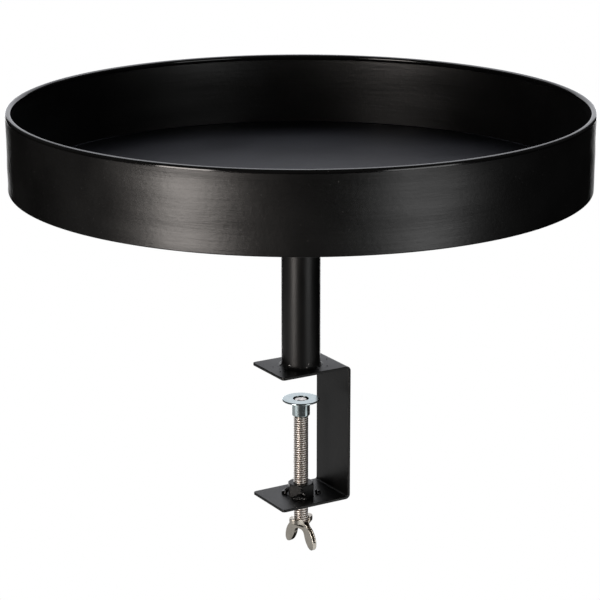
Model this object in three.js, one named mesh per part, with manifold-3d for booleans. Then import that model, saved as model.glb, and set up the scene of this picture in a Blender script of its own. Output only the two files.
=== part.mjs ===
// Desk clamp cup holder: a round sheet-steel tray on a short tubular post. A strip
// bent into a C clamps the post to a desk edge, with a hand-turned screw that
// presses a swivel pad up against the desk from below.
//
// Millimetres, +Z up. The origin is on the post's axis, on the underside of the
// upper jaw, where the desk top bears. The clamp's web stands on the +X side, and
// its throat opens towards -X. Pieces that touch on the real object are drawn
// with a gap of FIT_GAP between them.

import * as THREE from 'three';
import { mergeVertices } from 'three/addons/utils/BufferGeometryUtils.js';
import Module from 'manifold-3d';

const wasm = await Module();
wasm.setup();

// ---- driving dimensions -------------------------------------------------------

const FIT_GAP = 0.3;
const OVERCUT = 1; // how far a cutting tool runs past the faces that it cuts

// Clamp bracket: one flat strip bent twice.
const STRIP_THICKNESS = 1.5;
const STRIP_WIDTH = 32.5;
const THROAT_HEIGHT = 71.5;
const JAW_REACH = 20.5; // from the post's axis to the jaws' free ends
const WEB_REACH = 21; // from the post's axis to the web's outer face
const BEND_OUTER_RADIUS = 2.6;
const JAW_CORNER_RADIUS = 2;

// Post and its weld beads.
const POST_RADIUS = 10.25;
const POST_WALL = 1.5;
const POST_LENGTH = 98.5; // from the upper jaw to the tray's underside
const FOOT_WELD_LEG = 1.5;
const FLANGE_WELD_LEG = 2.2;

// Tray.
const TRAY_RADIUS = 150; // over the rim bead
const TRAY_DEPTH = 40.5;
const RIM_BEAD_RADIUS = 1.6;
const RIM_OVERHANG = 0.2; // the bead stands proud of the wall's outer face
const TRAY_SHEET = 1;
const FLOOR_THICKNESS = 1.2;
const CURL_END_ANGLE = THREE.MathUtils.degToRad(250);

// Support flange and the fasteners that hold the tray on it.
const FLANGE_RADIUS = 38;
const FLANGE_THICKNESS = 2.5;
const FASTENER_CIRCLE_RADIUS = 22;
const FASTENER_COUNT = 4;
const TRAY_SCREW_RADIUS = 2.5;
const TRAY_SCREW_HEAD_RADIUS = 4.6;
const TRAY_SCREW_LENGTH = 10.4;
const TRAY_SCREW_SET_BELOW = 0.1; // the heads' tops lie below the floor's surface
const RECESS_LENGTH = 4.4;
const RECESS_WIDTH = 0.9;
const RECESS_DEPTH = 1.6;
const TRAY_NUT_ACROSS_FLATS = 8;
const TRAY_NUT_HEIGHT = 4;

// Clamp screw (M8 x 1.25, drawn as a plain rod of its crest diameter).
const SCREW_RADIUS = 3.95;
const NECK_RADIUS = 2.8;
const PEENED_HEAD_RADIUS = 3.5;
const PEENED_HEAD_DEPTH = 0.25; // the peened head's top lies below the pad's face
const ROD_CHAMFER = 0.6;

// Weld nut (M8) and its tack welds.
const NUT_ACROSS_FLATS = 13;
const NUT_HEIGHT = 6.5;
const JAW_HOLE_RADIUS = 4.45;
const NUT_TURN = THREE.MathUtils.degToRad(5.5); // a corner of the nut, from +X
const TACK_RADIUS = 1.7;
const TACK_ANGLES = [145, -108, -22].map(THREE.MathUtils.degToRad);

// Swivel pad: a drawn cup with a wide flange.
const PAD_DEPTH = 17.5; // from the upper jaw down to the pad's face, at rest
const PAD_RADIUS = 10;
const PAD_FLANGE_THICKNESS = 1;
const PAD_BARREL_RADIUS = 4.8;
const PAD_BARREL_LENGTH = 8.3;
const PAD_FLOOR = 1.2;
const PAD_EDGE_BREAK = 0.25;
const PAD_BARREL_BREAK = 0.7;

// Wing handle.
const HUB_TOP = -84.5;
const HUB_RADIUS = 7.2;
const HUB_HEIGHT = 3;
const WING_THICKNESS = 2.6;
const WING_CENTRE_REACH = 7.7; // from the axis to the middle of a wing
const WING_CENTRE_DROP = 7.4; // from the hub's underside to the middle of a wing
const WING_HALF_LENGTH = 6.7;
const WING_HALF_WIDTH = 3.5;
const WING_LEAN = THREE.MathUtils.degToRad(23); // the wings spread as they drop
const WING_TURN = THREE.MathUtils.degToRad(-80); // plan direction of the first wing
const ARCH_HALF_WIDTH = 2.2; // flat part of the underside between the wings
const ARCH_DROP = 3.8; // from the hub's underside down to the arch's
const ROOT_OVERLAP = 0.5; // the two wings' roots run into each other on the axis

// Facets.
const TRAY_SEGMENTS = 80;
const ROUND_SEGMENTS = 28;
const SMALL_SEGMENTS = 20;
const POST_SEGMENTS = 40;
const FLANGE_SEGMENTS = 48;
const TACK_SEGMENTS = 12;
const BEND_SEGMENTS = 6;
const BEAD_STEPS = 10;
const CURL_STEPS = 5;

// ---- levels worked out from the dimensions ---------------------------------------

const JAW_TOP = STRIP_THICKNESS;
const LOWER_JAW_TOP = -THROAT_HEIGHT;
const LOWER_JAW_BOTTOM = LOWER_JAW_TOP - STRIP_THICKNESS;
const TRAY_BOTTOM = JAW_TOP + POST_LENGTH;
const TRAY_TOP = TRAY_BOTTOM + TRAY_DEPTH;
const FLOOR_TOP = TRAY_BOTTOM + FLOOR_THICKNESS;
const WALL_OUTER_RADIUS = TRAY_RADIUS - RIM_OVERHANG;
const WALL_INNER_RADIUS = WALL_OUTER_RADIUS - TRAY_SHEET;
const FLANGE_TOP = TRAY_BOTTOM - FIT_GAP;
const FLANGE_BOTTOM = FLANGE_TOP - FLANGE_THICKNESS;
const POST_TOP = FLANGE_BOTTOM - FIT_GAP;
const POST_BOTTOM = JAW_TOP + FIT_GAP;
const PAD_FACE = -PAD_DEPTH;
const PAD_FLANGE_BOTTOM = PAD_FACE - PAD_FLANGE_THICKNESS;
const PAD_BOTTOM = PAD_FLANGE_BOTTOM - PAD_BARREL_LENGTH;
const HUB_BOTTOM = HUB_TOP - HUB_HEIGHT;
const CLEARANCE_RADIUS = SCREW_RADIUS + FIT_GAP;

// ---- finishes --------------------------------------------------------------------

const BLACK_PAINT = { color: 0x141414, roughness: 0.45, metalness: 0 };
const ZINC_PLATE = { color: 0xc4cfd2, roughness: 0.28, metalness: 1 };
const NICKEL_PLATE = { color: 0xa39a8e, roughness: 0.3, metalness: 1 };
const BLACK_OXIDE = { color: 0x232326, roughness: 0.4, metalness: 0.6 };

// ---- solids ----------------------------------------------------------------------

function toSolid(geometry) {
  const bare = geometry.clone();
  bare.deleteAttribute('normal');
  bare.deleteAttribute('uv');
  const merged = mergeVertices(bare, 1e-4);
  const vertProperties = new Float32Array(merged.attributes.position.array);
  const triVerts = new Uint32Array(merged.index.array);
  return new wasm.Manifold(new wasm.Mesh({ numProp: 3, vertProperties, triVerts }));
}

function toGeometry(solid) {
  const mesh = solid.getMesh();
  const geometry = new THREE.BufferGeometry();
  geometry.setAttribute('position', new THREE.BufferAttribute(mesh.vertProperties, 3));
  geometry.setIndex(new THREE.BufferAttribute(mesh.triVerts, 1));
  geometry.computeVertexNormals();
  return geometry;
}

function cut(geometry, ...tools) {
  let solid = toSolid(geometry);
  for (const tool of tools) solid = solid.subtract(toSolid(tool));
  return toGeometry(solid);
}

function join(geometry, ...others) {
  let solid = toSolid(geometry);
  for (const other of others) solid = solid.add(toSolid(other));
  return toGeometry(solid);
}

function common(geometry, other) {
  return toGeometry(toSolid(geometry).intersect(toSolid(other)));
}

// ---- shapes ----------------------------------------------------------------------

// A closed outline of [radius, z] points, anticlockwise, turned about +Z.
function revolve(outline, segments) {
  const points = [...outline, outline[0]].map(([r, z]) => new THREE.Vector2(r, z));
  return new THREE.LatheGeometry(points, segments).rotateX(Math.PI / 2);
}

function rod(radius, bottom, top, segments = ROUND_SEGMENTS) {
  const geometry = new THREE.CylinderGeometry(radius, radius, top - bottom, segments);
  return geometry.rotateX(Math.PI / 2).translate(0, 0, (bottom + top) / 2);
}

function arcPoints(centre, radius, from, to, steps) {
  const points = [];
  for (let i = 0; i <= steps; i += 1) {
    const angle = from + ((to - from) * i) / steps;
    points.push([centre[0] + radius * Math.cos(angle), centre[1] + radius * Math.sin(angle)]);
  }
  return points;
}

// A hexagonal prism about the Z axis with a corner at the angle turn.
function hexPrism(acrossFlats, bottom, top, turn) {
  const cornerRadius = acrossFlats / Math.sqrt(3);
  const shape = new THREE.Shape();
  for (let i = 0; i < 6; i += 1) {
    const angle = turn + (i * Math.PI) / 3;
    const x = cornerRadius * Math.cos(angle);
    const y = cornerRadius * Math.sin(angle);
    if (i === 0) shape.moveTo(x, y);
    else shape.lineTo(x, y);
  }
  const settings = { depth: top - bottom, bevelEnabled: false };
  return new THREE.ExtrudeGeometry(shape, settings).translate(0, 0, bottom);
}

// A hexagonal nut: corners chamfered on both faces, bored through.
function hexNut(acrossFlats, boreRadius, bottom, top, turn) {
  const flatRadius = acrossFlats / 2;
  const cornerRadius = acrossFlats / Math.sqrt(3);
  const chamfer = (cornerRadius - flatRadius) / 2;
  const outline = [
    [0, bottom],
    [flatRadius, bottom],
    [cornerRadius, bottom + chamfer],
    [cornerRadius, top - chamfer],
    [flatRadius, top],
    [0, top],
  ];
  const blank = common(hexPrism(acrossFlats, bottom, top, turn), revolve(outline, ROUND_SEGMENTS));
  return cut(blank, rod(boreRadius, bottom - OVERCUT, top + OVERCUT, SMALL_SEGMENTS));
}

// ---- tray ------------------------------------------------------------------------

// The wall rises to the rim and curls inwards into a bead, which stays open by a slit
// on the inside.
function trayHoop() {
  const beadCentre = [TRAY_RADIUS - RIM_BEAD_RADIUS, TRAY_TOP - RIM_BEAD_RADIUS];
  const curlInnerRadius = RIM_BEAD_RADIUS - TRAY_SHEET;
  const outerStart = -Math.acos((WALL_OUTER_RADIUS - beadCentre[0]) / RIM_BEAD_RADIUS);
  const innerStart = -Math.acos((WALL_INNER_RADIUS - beadCentre[0]) / curlInnerRadius);
  const outline = [
    [WALL_INNER_RADIUS, TRAY_BOTTOM],
    [WALL_OUTER_RADIUS, TRAY_BOTTOM],
    ...arcPoints(beadCentre, RIM_BEAD_RADIUS, outerStart, CURL_END_ANGLE, BEAD_STEPS),
    ...arcPoints(beadCentre, curlInnerRadius, CURL_END_ANGLE, innerStart, CURL_STEPS),
  ];
  return revolve(outline, TRAY_SEGMENTS);
}

function fastenerPlaces() {
  const places = [];
  for (let i = 0; i < FASTENER_COUNT; i += 1) {
    const angle = (2 * Math.PI * (i + 0.5)) / FASTENER_COUNT;
    places.push([
      FASTENER_CIRCLE_RADIUS * Math.cos(angle),
      FASTENER_CIRCLE_RADIUS * Math.sin(angle),
    ]);
  }
  return places;
}

// The hole for a countersunk screw: a 90 degree cone over a straight shank hole.
function countersink(place) {
  const mouthRadius = TRAY_SCREW_HEAD_RADIUS + TRAY_SCREW_SET_BELOW + FIT_GAP;
  const holeRadius = TRAY_SCREW_RADIUS + FIT_GAP;
  const coneDepth = mouthRadius - holeRadius;
  const outline = [
    [0, FLANGE_BOTTOM - OVERCUT],
    [holeRadius, FLANGE_BOTTOM - OVERCUT],
    [holeRadius, FLOOR_TOP - coneDepth],
    [mouthRadius, FLOOR_TOP],
    [mouthRadius, FLOOR_TOP + OVERCUT],
    [0, FLOOR_TOP + OVERCUT],
  ];
  return revolve(outline, SMALL_SEGMENTS).translate(place[0], place[1], 0);
}

function trayFloor() {
  const radius = WALL_INNER_RADIUS - FIT_GAP;
  const plate = rod(radius, TRAY_BOTTOM, FLOOR_TOP, TRAY_SEGMENTS);
  return cut(plate, ...fastenerPlaces().map(countersink));
}

function supportFlange() {
  const plate = rod(FLANGE_RADIUS, FLANGE_BOTTOM, FLANGE_TOP, FLANGE_SEGMENTS);
  return cut(plate, ...fastenerPlaces().map(countersink));
}

// A countersunk screw with a cross recess, its head just below the floor's surface.
function trayScrew(place) {
  const headTop = FLOOR_TOP - TRAY_SCREW_SET_BELOW;
  const headHeight = TRAY_SCREW_HEAD_RADIUS - TRAY_SCREW_RADIUS;
  const outline = [
    [0, headTop - TRAY_SCREW_LENGTH],
    [TRAY_SCREW_RADIUS, headTop - TRAY_SCREW_LENGTH],
    [TRAY_SCREW_RADIUS, headTop - headHeight],
    [TRAY_SCREW_HEAD_RADIUS, headTop],
    [0, headTop],
  ];
  const recessBar = new THREE.BoxGeometry(RECESS_LENGTH, RECESS_WIDTH, 2 * RECESS_DEPTH);
  const crossBar = recessBar.clone().rotateZ(Math.PI / 2);
  recessBar.translate(0, 0, headTop);
  crossBar.translate(0, 0, headTop);
  const screw = cut(revolve(outline, SMALL_SEGMENTS), recessBar, crossBar);
  return screw.translate(place[0], place[1], 0);
}

function trayNut(place) {
  const top = FLANGE_BOTTOM - FIT_GAP;
  const bottom = top - TRAY_NUT_HEIGHT;
  const turn = Math.atan2(place[1], place[0]);
  const nut = hexNut(TRAY_NUT_ACROSS_FLATS, TRAY_SCREW_RADIUS + FIT_GAP, bottom, top, turn);
  return nut.translate(place[0], place[1], 0);
}

// ---- post ------------------------------------------------------------------------

function postTube() {
  const outline = [
    [POST_RADIUS - POST_WALL, POST_BOTTOM],
    [POST_RADIUS, POST_BOTTOM],
    [POST_RADIUS, POST_TOP],
    [POST_RADIUS - POST_WALL, POST_TOP],
  ];
  return revolve(outline, POST_SEGMENTS);
}

// A fillet weld round the post: a ring of triangular section on the face at level,
// growing up (rise 1) or down (rise -1) from it, with a slightly hollow slope.
function filletWeld(level, leg, rise) {
  const inner = POST_RADIUS + FIT_GAP;
  const base = level + rise * FIT_GAP;
  const toe = leg * 0.15;
  const waist = leg * 0.42;
  const outline = [
    [inner, base],
    [inner + leg, base],
    [inner + leg, base + rise * toe],
    [inner + waist, base + rise * waist],
    [inner + toe, base + rise * leg],
    [inner, base + rise * leg],
  ];
  return revolve(rise > 0 ? outline : outline.reverse(), ROUND_SEGMENTS);
}

// ---- clamp bracket ---------------------------------------------------------------

// The strip's edge-on outline: a C with its web at +X, in the XZ plane.
function bracketOutline() {
  const innerRadius = BEND_OUTER_RADIUS - STRIP_THICKNESS;
  const bendX = WEB_REACH - BEND_OUTER_RADIUS;
  const upperBend = [bendX, JAW_TOP - BEND_OUTER_RADIUS];
  const lowerBend = [bendX, LOWER_JAW_BOTTOM + BEND_OUTER_RADIUS];
  const quarter = Math.PI / 2;
  return [
    [-JAW_REACH, LOWER_JAW_BOTTOM],
    ...arcPoints(lowerBend, BEND_OUTER_RADIUS, -quarter, 0, BEND_SEGMENTS),
    ...arcPoints(upperBend, BEND_OUTER_RADIUS, 0, quarter, BEND_SEGMENTS),
    [-JAW_REACH, JAW_TOP],
    [-JAW_REACH, 0],
    ...arcPoints(upperBend, innerRadius, quarter, 0, BEND_SEGMENTS),
    ...arcPoints(lowerBend, innerRadius, 0, -quarter, BEND_SEGMENTS),
    [-JAW_REACH, LOWER_JAW_TOP],
  ];
}

// The strip's outline seen from above, with rounded corners at the jaws' free ends.
function stripPlan() {
  const shape = new THREE.Shape();
  const halfWidth = STRIP_WIDTH / 2;
  const radius = JAW_CORNER_RADIUS;
  const farX = WEB_REACH + OVERCUT;
  shape.moveTo(farX, -halfWidth);
  shape.lineTo(farX, halfWidth);
  shape.lineTo(-JAW_REACH + radius, halfWidth);
  shape.absarc(-JAW_REACH + radius, halfWidth - radius, radius, Math.PI / 2, Math.PI);
  shape.absarc(-JAW_REACH + radius, -halfWidth + radius, radius, Math.PI, 1.5 * Math.PI);
  shape.closePath();
  return shape;
}

function clampBracket() {
  const section = new THREE.Shape(bracketOutline().map(([x, z]) => new THREE.Vector2(x, z)));
  const strip = new THREE.ExtrudeGeometry(section, { depth: STRIP_WIDTH, bevelEnabled: false });
  strip.rotateX(Math.PI / 2).translate(0, STRIP_WIDTH / 2, 0);
  const plan = new THREE.ExtrudeGeometry(stripPlan(), {
    depth: JAW_TOP - LOWER_JAW_BOTTOM + 2 * OVERCUT,
    bevelEnabled: false,
    curveSegments: BEND_SEGMENTS,
  });
  plan.translate(0, 0, LOWER_JAW_BOTTOM - OVERCUT);
  const hole = rod(JAW_HOLE_RADIUS, LOWER_JAW_BOTTOM - OVERCUT, LOWER_JAW_TOP + OVERCUT);
  return cut(common(strip, plan), hole);
}

function weldNut() {
  const bottom = LOWER_JAW_TOP + FIT_GAP;
  return hexNut(NUT_ACROSS_FLATS, CLEARANCE_RADIUS, bottom, bottom + NUT_HEIGHT, NUT_TURN);
}

// A lump of weld metal beside the nut: a low dome on the lower jaw.
function nutTack(angle) {
  const reach = NUT_ACROSS_FLATS / Math.sqrt(3) + FIT_GAP + TACK_RADIUS;
  const base = LOWER_JAW_TOP + FIT_GAP;
  const outline = [
    [0, base],
    [TACK_RADIUS, base],
    [TACK_RADIUS * 0.85, base + TACK_RADIUS * 0.55],
    [TACK_RADIUS * 0.5, base + TACK_RADIUS * 0.95],
    [0, base + TACK_RADIUS * 1.1],
  ];
  const dome = revolve(outline, TACK_SEGMENTS);
  return dome.translate(reach * Math.cos(angle), reach * Math.sin(angle), 0);
}

// ---- clamp screw, pad and wing handle -----------------------------------------------

// The rod runs up through the nut, narrows to a neck through the pad's floor, and ends
// in a head peened over inside the pad.
function clampScrew() {
  const rodTop = PAD_BOTTOM - FIT_GAP;
  const rodBottom = HUB_BOTTOM + FIT_GAP;
  const headBottom = PAD_BOTTOM + PAD_FLOOR + FIT_GAP;
  const headTop = PAD_FACE - PEENED_HEAD_DEPTH;
  const outline = [
    [0, rodBottom],
    [SCREW_RADIUS - ROD_CHAMFER, rodBottom],
    [SCREW_RADIUS, rodBottom + ROD_CHAMFER],
    [SCREW_RADIUS, rodTop - ROD_CHAMFER],
    [SCREW_RADIUS - ROD_CHAMFER, rodTop],
    [NECK_RADIUS, rodTop],
    [NECK_RADIUS, headBottom],
    [PEENED_HEAD_RADIUS, headBottom],
    [PEENED_HEAD_RADIUS, headTop - ROD_CHAMFER],
    [PEENED_HEAD_RADIUS - ROD_CHAMFER, headTop],
    [0, headTop],
  ];
  return revolve(outline, ROUND_SEGMENTS);
}

function swivelPad() {
  const boreRadius = PEENED_HEAD_RADIUS + FIT_GAP;
  const neckHoleRadius = NECK_RADIUS + FIT_GAP;
  const boreFloor = PAD_BOTTOM + PAD_FLOOR;
  const outline = [
    [neckHoleRadius, PAD_BOTTOM],
    [PAD_BARREL_RADIUS - PAD_BARREL_BREAK, PAD_BOTTOM],
    [PAD_BARREL_RADIUS, PAD_BOTTOM + PAD_BARREL_BREAK],
    [PAD_BARREL_RADIUS, PAD_FLANGE_BOTTOM],
    [PAD_RADIUS - PAD_EDGE_BREAK, PAD_FLANGE_BOTTOM],
    [PAD_RADIUS, PAD_FLANGE_BOTTOM + PAD_EDGE_BREAK],
    [PAD_RADIUS, PAD_FACE - PAD_EDGE_BREAK],
    [PAD_RADIUS - PAD_EDGE_BREAK, PAD_FACE],
    [boreRadius + PAD_BARREL_BREAK, PAD_FACE],
    [boreRadius, PAD_FACE - PAD_BARREL_BREAK],
    [boreRadius, boreFloor],
    [neckHoleRadius, boreFloor],
  ];
  return revolve(outline, ROUND_SEGMENTS);
}

// One wing: a leaning oval plate below the hub, with a root that runs up into the hub
// and across to the axis, where the two roots make an arch.
function wing(turn) {
  const oval = new THREE.Shape();
  const middleZ = HUB_BOTTOM - WING_CENTRE_DROP;
  const lean = Math.PI / 2 + WING_LEAN;
  oval.absellipse(
    WING_CENTRE_REACH,
    middleZ,
    WING_HALF_LENGTH,
    WING_HALF_WIDTH,
    0,
    2 * Math.PI,
    false,
    lean,
  );
  const rootTop = HUB_BOTTOM + OVERCUT;
  const archBottom = HUB_BOTTOM - ARCH_DROP;
  const root = new THREE.Shape([
    new THREE.Vector2(-ROOT_OVERLAP, rootTop),
    new THREE.Vector2(-ROOT_OVERLAP, archBottom),
    new THREE.Vector2(ARCH_HALF_WIDTH, archBottom),
    new THREE.Vector2(WING_CENTRE_REACH - WING_HALF_WIDTH * 0.75, middleZ),
    new THREE.Vector2(WING_CENTRE_REACH, middleZ),
    new THREE.Vector2(HUB_RADIUS * 0.94, rootTop),
  ]);
  const plates = [oval, root].map((shape) => {
    const settings = { depth: WING_THICKNESS, bevelEnabled: false, curveSegments: 12 };
    const plate = new THREE.ExtrudeGeometry(shape, settings);
    return plate.rotateX(Math.PI / 2).translate(0, WING_THICKNESS / 2, 0).rotateZ(turn);
  });
  return join(...plates);
}

function wingHandle() {
  const hub = rod(HUB_RADIUS, HUB_BOTTOM, HUB_TOP);
  const body = join(hub, wing(WING_TURN), wing(WING_TURN + Math.PI));
  const bore = rod(CLEARANCE_RADIUS, HUB_BOTTOM, HUB_TOP + OVERCUT);
  return cut(body, bore);
}

// ---- assembly --------------------------------------------------------------------

const group = new THREE.Group();

function addPiece(name, geometry, finish) {
  const mesh = new THREE.Mesh(geometry, new THREE.MeshStandardMaterial(finish));
  mesh.name = name;
  group.add(mesh);
}

addPiece('tray_hoop', trayHoop(), BLACK_PAINT);
addPiece('tray_floor', trayFloor(), BLACK_PAINT);
addPiece('support_flange', supportFlange(), BLACK_PAINT);
fastenerPlaces().forEach((place, i) => {
  addPiece(`tray_screw_${i + 1}`, trayScrew(place), BLACK_OXIDE);
  addPiece(`tray_nut_${i + 1}`, trayNut(place), BLACK_OXIDE);
});
addPiece('post_tube', postTube(), BLACK_PAINT);
addPiece('flange_weld', filletWeld(FLANGE_BOTTOM, FLANGE_WELD_LEG, -1), BLACK_PAINT);
addPiece('post_weld', filletWeld(JAW_TOP, FOOT_WELD_LEG, 1), BLACK_PAINT);
addPiece('clamp_bracket', clampBracket(), BLACK_PAINT);
addPiece('weld_nut', weldNut(), BLACK_PAINT);
TACK_ANGLES.forEach((angle, i) => {
  addPiece(`nut_tack_${i + 1}`, nutTack(angle), BLACK_PAINT);
});
addPiece('swivel_pad', swivelPad(), ZINC_PLATE);
addPiece('clamp_screw', clampScrew(), NICKEL_PLATE);
addPiece('wing_handle', wingHandle(), NICKEL_PLATE);

export default group;
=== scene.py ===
"""Looks of a round tray that clamps to the edge of a desk.

A painted sheet-steel tray stands on a short tube, which is welded to a C-shaped clamp. A screw with
a wing handle runs through a nut on the lower jaw and carries a swivel pad. Every piece is built
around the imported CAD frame. Lengths are in metres, +Z is up, and the origin is on the tube's axis.
"""

import math

import bmesh
import bpy
import numpy as np
from mathutils import Matrix, Vector, noise


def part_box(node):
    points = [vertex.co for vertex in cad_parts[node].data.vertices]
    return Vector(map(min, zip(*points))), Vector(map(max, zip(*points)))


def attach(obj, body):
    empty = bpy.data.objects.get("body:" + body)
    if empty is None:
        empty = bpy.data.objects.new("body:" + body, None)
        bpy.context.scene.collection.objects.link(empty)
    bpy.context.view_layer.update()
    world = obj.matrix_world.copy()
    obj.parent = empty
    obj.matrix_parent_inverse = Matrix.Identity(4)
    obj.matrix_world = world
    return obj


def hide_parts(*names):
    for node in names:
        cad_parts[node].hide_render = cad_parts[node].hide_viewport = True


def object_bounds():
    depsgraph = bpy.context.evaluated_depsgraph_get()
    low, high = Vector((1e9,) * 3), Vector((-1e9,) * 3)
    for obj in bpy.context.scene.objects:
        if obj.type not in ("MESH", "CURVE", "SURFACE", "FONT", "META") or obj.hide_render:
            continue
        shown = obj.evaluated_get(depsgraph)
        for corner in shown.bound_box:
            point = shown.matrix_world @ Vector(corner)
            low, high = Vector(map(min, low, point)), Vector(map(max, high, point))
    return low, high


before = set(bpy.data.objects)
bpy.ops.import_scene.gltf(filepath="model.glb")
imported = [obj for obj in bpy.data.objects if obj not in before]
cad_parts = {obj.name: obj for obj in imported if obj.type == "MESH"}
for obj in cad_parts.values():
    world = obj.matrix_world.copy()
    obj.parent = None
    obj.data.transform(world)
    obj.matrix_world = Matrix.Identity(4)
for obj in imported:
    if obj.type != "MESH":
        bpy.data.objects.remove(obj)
cad_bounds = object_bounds()

# ---- measures ----

MM = 0.001
TURN = 2 * math.pi

# Tray.
hoop_low, hoop_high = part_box("tray_hoop")
TRAY_RADIUS = hoop_high.x
TRAY_BOTTOM = hoop_low.z
TRAY_TOP = hoop_high.z
FLOOR_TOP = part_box("tray_floor")[1].z
SHEET = 1.0 * MM
BEAD_RADIUS = 1.6 * MM
BEAD_OVERHANG = 0.04 * MM
WALL_RADIUS = TRAY_RADIUS - BEAD_OVERHANG
CURL_END = math.radians(250)
GROOVE_FILLET = 0.2 * MM
FOOT_ROUNDING = 0.5 * MM
FLOOR_FILLET = 1.0 * MM
SEAM_ANGLE = math.radians(-156)
SEAM_HEIGHT = 0.3 * MM
SEAM_SPREAD = 0.9 * MM
SEAM_SIDE = math.radians(35)
SEAM_SWELL_OUT = 0.4
SEAM_SWELL_UP = 0.1
HOOP_SEGMENTS = 480
WALL_STEP = 1.5 * MM
INNER_WALL_STEP = 4 * MM
FLOOR_TUCK = 0.1 * MM
FLOOR_RINGS = (120 * MM, 80 * MM, 40 * MM, 0)
WAVE_HEIGHT = 0.20 * MM
WAVE_LENGTH = 70 * MM
WAVE_RISE = 9 * MM
WAVE_FADE = 2 * MM
FLARE = 0.30 * MM
FLARE_HEIGHT = 8 * MM

# Support flange and the fasteners that hold the tray on it.
flange_low, flange_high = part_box("support_flange")
FLANGE_EDGE = 0.45 * MM
FLANGE_TOP_EDGE = 0.2 * MM
FASTENERS = range(1, 5)
TRAY_SCREW_RADIUS = 2.5 * MM
TRAY_SCREW_PITCH = 0.8 * MM
TRAY_NUT_FLATS = 8 * MM
RECESS_LENGTH = 4.4 * MM
RECESS_WIDTH = 0.9 * MM
RECESS_DEPTH = 1.6 * MM
RECESS_FOOT_LENGTH = RECESS_LENGTH * 0.45
RECESS_FOOT_WIDTH = RECESS_WIDTH * 0.7
RECESS_TURNS = (math.radians(20), math.radians(110))
COUNTERSINK_GAP = 0.15 * MM
LEAD_IN = 0.45 * MM
# A nut's corners are chamfered from this share of its flats' radius, at this angle.
CHAMFER_START = 0.97
NUT_CHAMFER = math.radians(30)

# Post and its welds.
POST_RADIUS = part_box("post_tube")[1].x
POST_WALL = 1.5 * MM
POST_STEP = 6 * MM
FOOT_WELD_LEG = 1.6 * MM
HEAD_WELD_LEG = 2.3 * MM
WELD_OVERLAP = 0.2 * MM
BEAD_GRAIN = 1.2 * MM
BEAD_ROUGHNESS = 0.12 * MM
PUDDLES = 17
LUMP_GRAIN = 0.9
LUMPINESS = 0.12
# Each drop on the front of the foot weld is (plan direction in degrees, height, radius).
FRONT_DROPS = [(-155, 2.2 * MM, 0.50 * MM), (-103, 1.2 * MM, 0.42 * MM), (-98, 3.2 * MM, 0.40 * MM)]
DROP_STANDOFF = 0.35 * MM
SPATTER_COUNT = 16
SPATTER_SEED = 7
SPATTER_SPREAD = 1.6 * MM
SPATTER_SIZES = (0.12, 0.34)

# Clamp bracket.
bracket_low, bracket_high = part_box("clamp_bracket")
STRIP = 1.5 * MM
BEND_OUTER_RADIUS = 2.6 * MM
JAW_CORNER_RADIUS = 2.0 * MM
STRIP_EDGE = 0.35 * MM
WEB_STEP = 8 * MM
JAW_HOLE_RADIUS = 4.45 * MM
JAW_TOP = bracket_high.z
LOWER_JAW_TOP = bracket_low.z + STRIP

# Weld nut and its tack welds.
NUT_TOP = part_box("weld_nut")[1].z
NUT_FLATS = 13.0 * MM
NUT_TURN = math.radians(5.5)
NUT_THREAD = 0.35 * MM
NUT_SINK = 0.1 * MM
# Each tack is a heap of blobs: (sideways, outwards, up, radius) from its foot, in millimetres.
TACK_BLOBS = {
    1: [(0, -0.5, 0.6, 1.4), (-1.3, -1.0, 0.4, 1.1), (1.1, -1.2, 0.8, 1.2), (0, -1.7, 1.7, 1.1)]
    + [(0.3, -2.0, 2.8, 0.8)],
    2: [(0, -0.1, 0.4, 1.4), (-1.7, -0.6, 0.5, 1.5), (-3.2, -1.2, 0.6, 1.5), (-4.8, -2.0, 0.5, 1.4)]
    + [(-2.4, -1.6, 1.8, 1.2), (1.3, -0.7, 0.3, 1.0), (0.5, -1.1, 1.6, 0.95)]
    + [(-0.1, -1.5, 2.9, 0.9), (-0.9, -1.8, 4.1, 0.85), (-1.9, -2.0, 4.9, 0.7)],
    3: [(0, 0.2, 0.2, 1.1), (1.2, 0, 0.1, 0.9), (-1.2, -0.4, 0.3, 1.0), (-0.2, -1.2, 0.9, 1.0)],
}
TACK_VOXEL = 0.2 * MM
TACK_GRAIN = 0.9 * MM
TACK_ROUGHNESS = 0.28 * MM
TACK_SINK = 0.05 * MM

# Clamp screw (M8 x 1.25) and pad.
pad_low, pad_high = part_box("swivel_pad")
screw_low, screw_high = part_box("clamp_screw")
SCREW_RADIUS = 3.95 * MM
SCREW_PITCH = 1.25 * MM
THREAD_DEPTH_RATIO = 0.6134
# The shares of half a pitch that are level at the thread's root and at its crest.
ROOT_SHARE = 0.04
CREST_SHARE = 0.20
NECK_RADIUS = 2.8 * MM
PEENED_RADIUS = 3.2 * MM
HEAD_CROWN = 0.28 * MM
STAKE_TURN = math.radians(25)
STAKE_WIDTH = 0.55 * MM
STAKE_HEIGHT = 0.15 * MM
PIT_RADIUS = 0.9 * MM
PIT_DEPTH = 0.12 * MM
# Rows of points that would share a height are kept this far apart.
HAIR = 0.02 * MM
PAD_FLANGE = 1.0 * MM
PAD_BARREL_RADIUS = 4.8 * MM
PAD_FLOOR = 1.2 * MM
PAD_BORE_RADIUS = 4.15 * MM
PAD_MOUTH_ROUNDING = 0.25 * MM

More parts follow.
